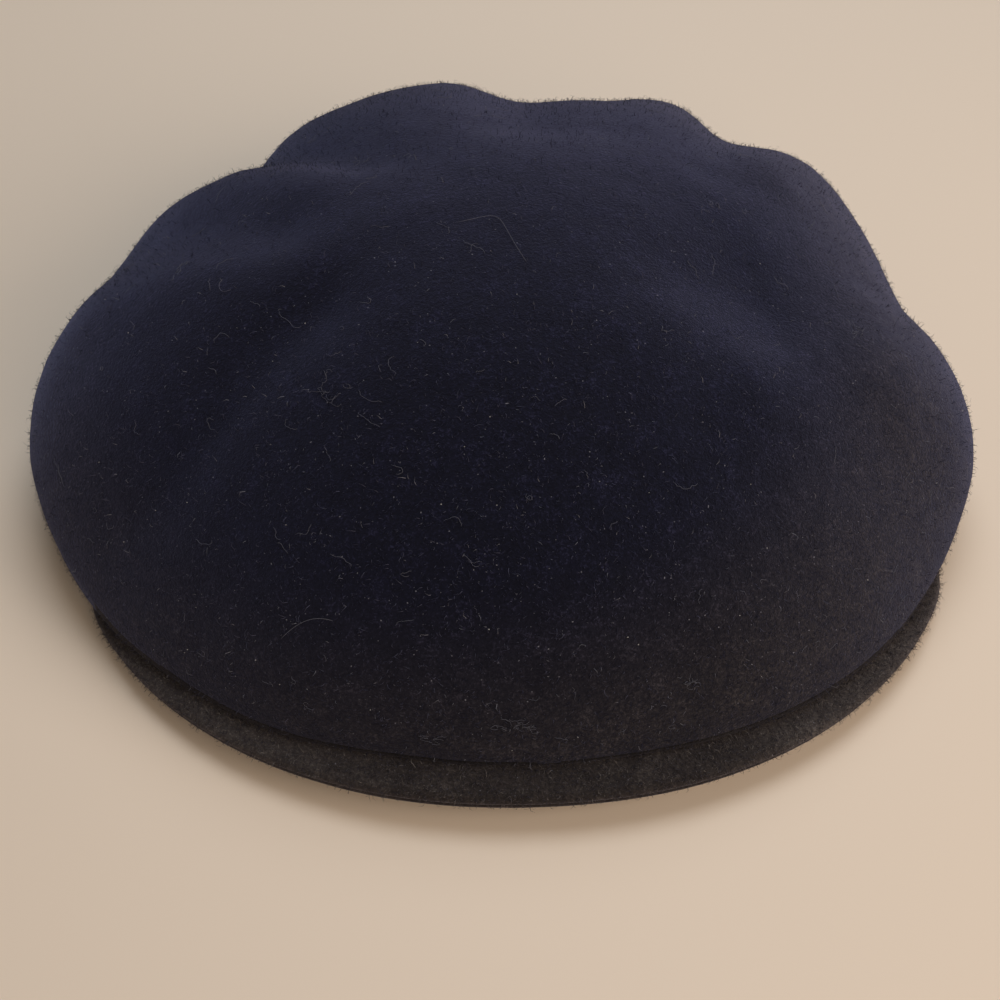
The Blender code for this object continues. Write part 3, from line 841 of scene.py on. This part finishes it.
def tab_place(node):
    """Where a tab hangs: its fold line, the ways across it and into the opening, length and width."""
    joint = next(j for j in frame["joints"] if j["child"] == node)
    hinge = Vector(joint["pos_m"])
    across = Vector(joint["axis"]).normalized()
    inward = Vector((0.0, 0.0, 1.0)).cross(across).normalized()
    if inward.dot(PLACE - hinge) < 0:
        inward.negate()
    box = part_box(node)
    corners = [Vector((x, y, 0)) for x in (box[0].x, box[1].x) for y in (box[0].y, box[1].y)]
    width = 2.0 * max(abs((c - hinge).dot(across)) for c in corners) - TAB_THICKNESS
    return hinge, across, inward, hinge.z - box[0].z, min(width, TAB_WIDTHS[node])


def make_tab(node, material):
    """A blank woven tab: a thin cloth with a soft curl, which hangs from the strip sewn down."""
    hinge, across, inward, length, width = tab_place(node)
    tall = length + TAB_SEAM
    sections = []
    for row in range(TAB_ROWS + 1):
        down = row / TAB_ROWS
        hanging = max(tall * down - TAB_SEAM, 0.0) / length
        last = down if row == TAB_ROWS else 0.0
        front = []
        back = []
        for column in range(TAB_COLUMNS + 1):
            over = column / TAB_COLUMNS - 0.5
            curl = TAB_CURL * hanging**2
            curl += TAB_WAVE * math.sin(over * TAB_WAVE_ACROSS + hanging * TAB_WAVE_DOWN) * hanging
            edge = 1.0 - TAB_EDGE_THINNING * max(abs(over) * 2.0, last) ** TAB_EDGE_POWER
            half = inward * (0.5 * TAB_THICKNESS * edge)
            place = hinge + across * (over * width) + inward * curl
            place.z += TAB_SEAM - tall * down
            front.append(place + half)
            back.append(place - half)
        sections.append(front + back[::-1])
    return loft(f"{node}_tab", sections, material)


def make_tab_stitches(node, material):
    """The row of stitches over a tab's top strip."""
    hinge, across, inward, _, width = tab_place(node)
    count = max(3, round(width / TAB_STITCH_SPACING))
    runs = []
    for stitch in range(count):
        middle = (stitch + 0.5) / count - 0.5
        run = []
        for share in np.linspace(0.0, 1.0, STITCH_POINTS):
            place = hinge + across * ((middle + (share - 0.5) * TAB_STITCH_SHARE / count) * width)
            place += inward * (TAB_STITCH_RISE * math.sin(math.pi * share) - TAB_STITCH_SINK)
            place.z += 0.5 * TAB_SEAM
            run.append(place)
        runs.append(run)
    return joined_tubes(f"{node}_stitches", runs, TAB_THREAD_RADIUS, THREAD_SIDES, material)


def fix_normals(piece):
    """Turns a closed mesh's faces outwards."""
    mesh = piece.data
    work = bmesh.new()
    work.from_mesh(mesh)
    bmesh.ops.recalc_face_normals(work, faces=work.faces)
    work.to_mesh(mesh)
    work.free()


def surface_samples(piece, count, random, keep):
    """Random points spread evenly over a mesh, with normals, where keep(point, normal) allows."""
    mesh = piece.data
    mesh.calc_loop_triangles()
    places = np.array([vertex.co for vertex in mesh.vertices])
    a, b, c = (places[[t.vertices[i] for t in mesh.loop_triangles]] for i in range(3))
    cross = np.cross(b - a, c - a)
    area = np.linalg.norm(cross, axis=1)
    normals = cross / np.maximum(area, 1e-15)[:, None]
    wanted = keep((a + b + c) / 3.0, normals)
    weight = area * wanted
    chosen = random.choice(len(area), size=count, p=weight / weight.sum())
    u, v = random.random(count), random.random(count)
    over = u + v > 1.0
    u[over], v[over] = 1.0 - u[over], 1.0 - v[over]
    points = a[chosen] + (b - a)[chosen] * u[:, None] + (c - a)[chosen] * v[:, None]
    return points, normals[chosen]


def crown_shows(points, normals):
    """Where the crown wears its nap: all of its outside down to the rim."""
    heart = np.array((PLACE.x, PLACE.y, NAP_HEART_HEIGHT))
    outwards = ((points - heart) * normals).sum(axis=1) > 0.0
    return outwards & (points[:, 2] > NAP_LOWEST)


def crown_front_shows(points, normals):
    return crown_shows(points, normals) & (points[:, 1] < NAP_PARTING)


def crown_back_shows(points, normals):
    return crown_shows(points, normals) & (points[:, 1] >= NAP_PARTING)


def peak_shows(points, normals):
    """Where the peak wears its nap: its top outside the crown and its rolled edge."""
    plan = points[:, :2] - np.array(PLACE[:2])
    azimuths = np.degrees(np.arctan2(plan[:, 0], -plan[:, 1]))
    crown_edge = np.array([around(azimuth, CROWN_OUTLINE, 1) for azimuth in azimuths])
    outside = np.linalg.norm(plan, axis=1) > crown_edge - UNDER_CROWN_NAP
    return (normals[:, 2] > PEAK_NAP_LOWEST_NORMAL) & outside


def make_nap(name, piece, count, materials, keep, seed):
    """Wisps of wool that stand and lie on the felt, each a bent three-sided spike."""
    random = np.random.default_rng(seed)
    points, normals = surface_samples(piece, count, random, keep)
    sideways = unit(np.cross(normals, random.normal(size=normals.shape)))
    third = np.cross(normals, sideways)
    lean = random.uniform(*NAP_LEANS, count)[:, None]
    length = (NAP_LENGTH * np.exp(random.normal(0.0, NAP_LENGTH_SPREAD, count)))[:, None]
    length = np.minimum(length, NAP_LONGEST)
    first = unit(normals + sideways * lean)
    rise = random.uniform(*NAP_TIP_RISES, count)[:, None]
    turn = random.uniform(*NAP_TIP_TURNS, count)[:, None]
    second = unit(normals * rise + sideways + third * turn)
    base = points - normals * NAP_ROOT
    knee = base + first * (length * 0.5 + NAP_ROOT)
    tip = knee + second * length * 0.5
    vertices = np.zeros((count, 7, 3))
    for corner in range(3):
        angle = 2.0 * math.pi * corner / 3.0
        offset = third * math.cos(angle) + normals * math.sin(angle) * NAP_FLATNESS
        offset *= NAP_RADIUS
        vertices[:, corner] = base + offset
        vertices[:, 3 + corner] = knee + offset * NAP_TAPER
    vertices[:, 6] = tip
    shape = [(0, 2, 1), (0, 1, 4, 3), (1, 2, 5, 4), (2, 0, 3, 5), (3, 4, 6), (4, 5, 6), (5, 3, 6)]
    faces = [tuple(7 * k + corner for corner in face) for k in range(count) for face in shape]
    nap = mesh_object(name, vertices.reshape(-1, 3), faces, materials[0], smooth=False)
    for material in materials[1:]:
        nap.data.materials.append(material)
    shades = random.choice(len(materials), size=count, p=NAP_SHADES)
    nap.data.polygons.foreach_set("material_index", np.repeat(shades, len(shape)).astype(np.int32))
    return nap


def on_grid(grid, azimuth, share):
    """A point of the crown's outside by azimuth and by how far down it is, 1 at its widest."""
    column = (azimuth + 180.0) / 360.0 * CROWN_COLUMNS
    first = int(math.floor(column)) % CROWN_COLUMNS
    second = (first + 1) % CROWN_COLUMNS
    part = column - math.floor(column)
    ring = min(max(share, 0.0), 1.0) * CROWN_TOP_RINGS
    low = min(int(ring), CROWN_TOP_RINGS - 1)
    here = grid[first, low] * (1.0 - part) + grid[second, low] * part
    under = grid[first, low + 1] * (1.0 - part) + grid[second, low + 1] * part
    return Vector(here * (1.0 - ring + low) + under * (ring - low))


def curl_on_crown(grid, azimuth, share, length, bend, random):
    """A fine fibre lying curled on the crown: points that wander over it from one place."""
    heading = random.uniform(0.0, 2.0 * math.pi)
    turning = random.normal(0.0, CURL_STEADY_BEND * bend)
    points = []
    step = length / CURL_STEPS
    for _ in range(CURL_STEPS + 1):
        place = on_grid(grid, azimuth, share)
        place.z += CURL_LIFT * random.uniform(*CURL_LIFT_SHARES)
        points.append(place)
        heading += turning + random.normal(0.0, bend)
        across = max(CROWN_REACH * share, CROWN_REACH_LEAST)
        azimuth += math.degrees(step * math.cos(heading) / across)
        share += step * math.sin(heading) / CROWN_SLOPE
        share = min(max(share, LINT_SHARES[0]), LINT_SHARES[1])
    return points


def make_curls(grid, random, material):
    """Stray pale fibres and tufts of fluff caught on the crown."""
    runs = []
    for _ in range(CURL_COUNT):
        azimuth = random.uniform(-180.0, 180.0)
        share = math.sqrt(random.uniform(*CURL_SQUARED_SHARES))
        length = random.uniform(*CURL_LENGTHS)
        runs.append(curl_on_crown(grid, azimuth, share, length, CURL_BEND, random))
    for azimuth, share, spread, count in FLUFFS:
        for _ in range(count):
            fibre_azimuth = azimuth + random.normal(0.0, spread)
            fibre_share = share + random.normal(0.0, FLUFF_SPREAD_DOWN)
            length = random.uniform(*FLUFF_LENGTHS)
            runs.append(curl_on_crown(grid, fibre_azimuth, fibre_share, length, FLUFF_BEND, random))
    return joined_tubes("crown_lint", runs, CURL_RADIUS, CURL_SIDES, material)


def make_hairs(grid, material):
    """Long hairs on the crown, each bowed from its start past its middle place to its end."""
    runs = []
    for hair in HAIRS:
        run = []
        for share in np.linspace(0.0, 1.0, HAIR_STEPS + 1):
            weights = ((1 - share) ** 2, 2 * share * (1 - share), share**2)
            azimuth, down = np.array(weights) @ np.array(hair)
            place = on_grid(grid, azimuth, down)
            place.z += HAIR_LIFT + HAIR_RISE * math.sin(math.pi * share)
            run.append(place)
        runs.append(run)
    return joined_tubes("crown_hairs", runs, HAIR_RADIUS, HAIR_SIDES, material)


def make_specks(grid, random, material):
    """Bright specks caught on the crown."""
    vertices = []
    faces = []
    for _ in range(SPECK_COUNT):
        azimuth = random.uniform(-180.0, 180.0)
        share = math.sqrt(random.uniform(*SPECK_SQUARED_SHARES))
        place = on_grid(grid, azimuth, share)
        size = random.uniform(*SPECK_SIZES)
        first = len(vertices)
        vertices += [place + Vector(way) * size for way in SPECK_CORNERS]
        faces += [tuple(first + corner for corner in side) for side in SPECK_SIDES]
    return mesh_object("crown_specks", vertices, faces, material, smooth=False)


def node_material(name):
    """A new material, its node tree and its Principled shader."""
    material = bpy.data.materials.new(name)
    material.use_nodes = True
    tree = material.node_tree
    return material, tree, tree.nodes["Principled BSDF"]


def set_inputs(node, values):
    """Sets a node's inputs, each to a value, a colour or another node's output."""
    for name, value in values.items():
        socket = node.inputs[name]
        if isinstance(value, bpy.types.NodeSocket):
            node.id_data.links.new(value, socket)
        else:
            socket.default_value = (*value, 1.0) if socket.type == "RGBA" else value


def add_node(tree, kind, output, inputs, **settings):
    """Adds a node with its inputs and settings. Returns one of its outputs."""
    node = tree.nodes.new(kind)
    for name, value in settings.items():
        setattr(node, name, value)
    set_inputs(node, inputs)
    return node.outputs[output]


def add_noise(tree, scale, detail, roughness, distortion=0.0):
    """A noise texture in object space; scale is bumps to the metre."""
    inputs = {"Scale": scale, "Detail": detail, "Roughness": roughness, "Distortion": distortion}
    place = add_node(tree, "ShaderNodeTexCoord", "Object", {})
    return add_node(tree, "ShaderNodeTexNoise", "Fac", {"Vector": place, **inputs})


def add_range(tree, value, low, high, out_low=0.0, out_high=1.0):
    """A smooth step from one range of a value to another."""
    inputs = {"Value": value, "From Min": low, "From Max": high, "To Min": out_low, "To Max": out_high}
    return add_node(tree, "ShaderNodeMapRange", "Result", inputs, interpolation_type="SMOOTHSTEP")


def add_mix(tree, share, first, second):
    """A mix of two colours."""
    inputs = {"Factor": share, MIX_FIRST: first, MIX_SECOND: second}
    return add_node(tree, "ShaderNodeMix", MIX_RESULT, inputs, data_type="RGBA")


def add_distance(tree, heart, near, far):
    """How far from a place in object space a point lies, 0 up to one distance and 1 from another."""
    ends = {0: add_node(tree, "ShaderNodeTexCoord", "Object", {}), 1: heart}
    away = add_node(tree, "ShaderNodeVectorMath", "Value", ends, operation="DISTANCE")
    return add_range(tree, away, near, far)


def sheen_inputs(sheen, tint):
    """The soft light that wool throws back at its edges."""
    return {"Sheen Weight": sheen, "Sheen Roughness": SHEEN_ROUGHNESS, "Sheen Tint": tint}


def felt_material(name):
    """Fulled wool: matted tufts over dark pits, pale specks and a soft sheen.

    Away from its heart, a place with a nearer and a farther distance, it takes on its far shades. The heart's
    shades are painted shade and the far shades painted light.
    """
    heart, shades, far_shades, sheen, tint = FELT_LOOKS[name]
    material, tree, shader = node_material(name)
    tufts = add_noise(tree, *FELT_TUFTS)
    mixed = 0.0
    grain = add_noise(tree, *FELT_GRAIN)
    mottle = add_noise(tree, *FELT_MOTTLE)
    for part, weight in ((tufts, TUFTS_SHARE), (grain, GRAIN_SHARE), (mottle, MOTTLE_SHARE)):
        inputs = {0: part, 1: weight, 2: mixed}
        mixed = add_node(tree, "ShaderNodeMath", "Value", inputs, operation="MULTIPLY_ADD")
    # Painted light: the darker shades near the heart give way to the lighter far shades.
    away = add_distance(tree, *heart)
    dark, light, bright = (add_mix(tree, away, *pair) for pair in zip(shades, far_shades))
    colour = add_mix(tree, add_range(tree, mixed, *TUFT_RANGE), dark, light)
    colour = add_mix(tree, add_range(tree, mixed, *STRAND_RANGE), colour, bright)
    lint = add_range(tree, add_noise(tree, *FELT_SPECKS), *SPECK_RANGE)
    inputs = {
        "Base Color": add_mix(tree, lint, colour, LINT_COLOUR),
        "Roughness": add_range(tree, tufts, *FELT_ROUGHNESS_RANGE),
        "Specular IOR Level": WOOL_SPECULAR,
        "Normal": add_node(tree, "ShaderNodeBump", "Normal", {"Height": mixed} | FELT_BUMP),
    }
    set_inputs(shader, inputs | sheen_inputs(sheen, tint))
    return material


def plain_material(name):
    """A material with a fine grain of its own colour."""
    colour, roughness, scale, spread, sheen = PLAIN_LOOKS[name]
    material, tree, shader = node_material(name)
    grain = add_noise(tree, scale, *PLAIN_GRAIN_DETAIL)
    dark = tuple(v * (1.0 - spread) for v in colour)
    light = tuple(min(1.0, v * (1.0 + spread)) for v in colour)
    rough_ends = (roughness + PLAIN_ROUGHNESS_SPREAD, roughness - PLAIN_ROUGHNESS_SPREAD)
    inputs = {
        "Base Color": add_mix(tree, add_range(tree, grain, *PLAIN_GRAIN_RANGE), dark, light),
        "Roughness": add_range(tree, grain, *PLAIN_GRAIN_RANGE, *rough_ends),
        "Sheen Weight": sheen,
        "Normal": add_node(tree, "ShaderNodeBump", "Normal", {"Height": grain} | PLAIN_BUMP),
    }
    set_inputs(shader, inputs)
    return material


def fibre_material(name, colour):
    """The wool of single fibres, in one colour."""
    material, _, shader = node_material(name)
    set_inputs(shader, {"Base Color": colour, "Roughness": FIBRE_ROUGHNESS})
    set_inputs(shader, {"Specular IOR Level": WOOL_SPECULAR} | sheen_inputs(FIBRE_SHEEN, BLUISH))
    return material


def make_camera():
    camera = add_object("camera", bpy.data.cameras.new("camera"))
    camera.data.lens = CAMERA_LENS
    camera.data.sensor_width = SENSOR_WIDTH
    camera.data.sensor_fit = "HORIZONTAL"
    camera.data.clip_start = CAMERA_NEAR
    camera.location = CAMERA_PLACE
    turn = Quaternion((0, 0, 1), math.radians(-CAMERA_HEADING))
    tilt = Quaternion((1, 0, 0), math.radians(90.0 - CAMERA_PITCH))
    roll = Quaternion((0, 0, 1), math.radians(CAMERA_ROLL))
    camera.rotation_mode = "QUATERNION"
    camera.rotation_quaternion = turn @ tilt @ roll
    bpy.context.scene.camera = camera


def make_lights():
    """Disk lamps round the hat and a dim even light from all over."""
    for name, place, target, size, energy, colour in LIGHTS:
        light = bpy.data.lights.new(name, "AREA")
        light.shape = "DISK"
        light.size = size
        light.energy = energy
        light.color = colour
        lamp = add_object(name, light)
        lamp.location = place
        lamp.rotation_mode = "QUATERNION"
        lamp.rotation_quaternion = (Vector(target) - Vector(place)).to_track_quat("-Z", "Y")
    world = bpy.data.worlds.new("studio")
    world.use_nodes = True
    background = world.node_tree.nodes["Background"]
    set_inputs(background, {"Color": WORLD_COLOUR, "Strength": WORLD_STRENGTH})
    bpy.context.scene.world = world
    bpy.context.scene.view_settings.view_transform = "Standard"


def make_floor():
    material, _, shader = node_material("floor")
    set_inputs(shader, {"Base Color": FLOOR_COLOUR, "Roughness": FLOOR_ROUGHNESS})
    bpy.ops.mesh.primitive_plane_add(size=FLOOR_SIZE, location=(0.0, 0.0, RIM_LOW - FLOOR_GAP))
    floor = bpy.context.object
    floor.name = "floor"
    floor.data.materials.append(material)


def make_lint():
    """All that is caught on the crown: fibres and fluff, hairs, and specks."""
    grid = crown_outside()[0]
    random = np.random.default_rng(SEED + 1)
    wool = fibre_material("lint", LINT_FIBRE_COLOUR)
    lint = [make_curls(grid, random, wool), make_hairs(grid, wool)]
    lint.append(make_specks(grid, random, fibre_material("speck", SPECK_COLOUR)))
    return lint


def make_all_nap(crown, peak_top):
    """The nap of the crown, in a front and a back piece, and of the peak."""
    fibres = [fibre_material(f"fibre_{i}", colour) for i, colour in enumerate(NAP_COLOURS)]
    peak_fibres = [fibre_material(f"peak_fibre_{i}", c) for i, c in enumerate(PEAK_NAP_COLOURS)]
    nap = (
        make_nap("crown_front_nap", crown, CROWN_NAP, fibres, crown_front_shows, SEED),
        make_nap("crown_back_nap", crown, CROWN_NAP, fibres, crown_back_shows, SEED + 2),
        make_nap("peak_nap", peak_top, PEAK_NAP, peak_fibres, peak_shows, SEED + 3),
    )
    return nap


def make_pieces():
    """Every piece that stands for a node of the CAD, by that node's name, with its slot."""
    thread = plain_material("thread")
    peak_felt = felt_material("peak_felt")
    tack_row = (tack_place, TACK_HALF_ANGLE, TACK_POINTS, 1.0, TACK_STITCH, thread)
    root_row = (root_place, ROOT_HALF_ANGLE, ROOT_POINTS, -1.0, ROOT_STITCH, thread)
    pieces = {
        "crown_shell": (make_crown(felt_material("felt")), "felt"),
        "peak_top_cover": (peak_cover("felt_peak_top", upper_cover, peak_felt), "felt"),
        "peak_under_cover": (peak_cover("felt_peak_underside", lower_cover, peak_felt), "felt"),
        "sweatband": (make_ribbon(plain_material("ribbon")), "ribbon"),
        "sweatband_thread": (make_ribbon_seam(thread), "thread"),
        "sweatband_join_thread": (make_ribbon_zigzag(thread), "thread"),
        "crown_tack_thread": (make_peak_seam("crown_tack_stitches", *tack_row), "thread"),
        "peak_root_thread": (make_peak_seam("peak_root_stitches", *root_row), "thread"),
    }
    for node, slot in TAB_SLOTS.items():
        pieces[node] = (make_tab(node, plain_material(slot)), slot)
        pieces[f"{node}_thread"] = (make_tab_stitches(node, thread), "thread")
    return pieces


def main():
    make_camera()
    pieces = {}
    for node, (piece, slot) in make_pieces().items():
        if slot != "thread":
            fix_normals(piece)
        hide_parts(node)
        pieces[node] = piece
    crown, band = pieces["crown_shell"], pieces["sweatband"]
    peak_top = pieces["peak_top_cover"]
    # Painted shade in the crease over the peak.
    paint_crease_shade(crown, felt_material("crease_shade_felt"))
    frame["nodes"]["peak_board"].material_slots[0].material = plain_material("board")

    on_peak = [pieces[node] for node in PEAK_NODES]
    bending = [crown, band, pieces["sweatband_thread"], *make_lint()]
    front_nap, back_nap, peak_nap = make_all_nap(crown, peak_top)
    bending += [front_nap, back_nap]
    on_peak.append(peak_nap)
    for piece in on_peak:
        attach(piece, "peak")
    for piece in bending:
        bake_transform(piece)
    for node in ("sweatband_join_thread", "size_label_thread", "care_label_thread"):
        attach(pieces[node], "crown")
    for node in TAB_SLOTS:
        fold = tab_place(node)[0]
        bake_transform(pieces[node])

    make_lights()
    make_floor()


main()
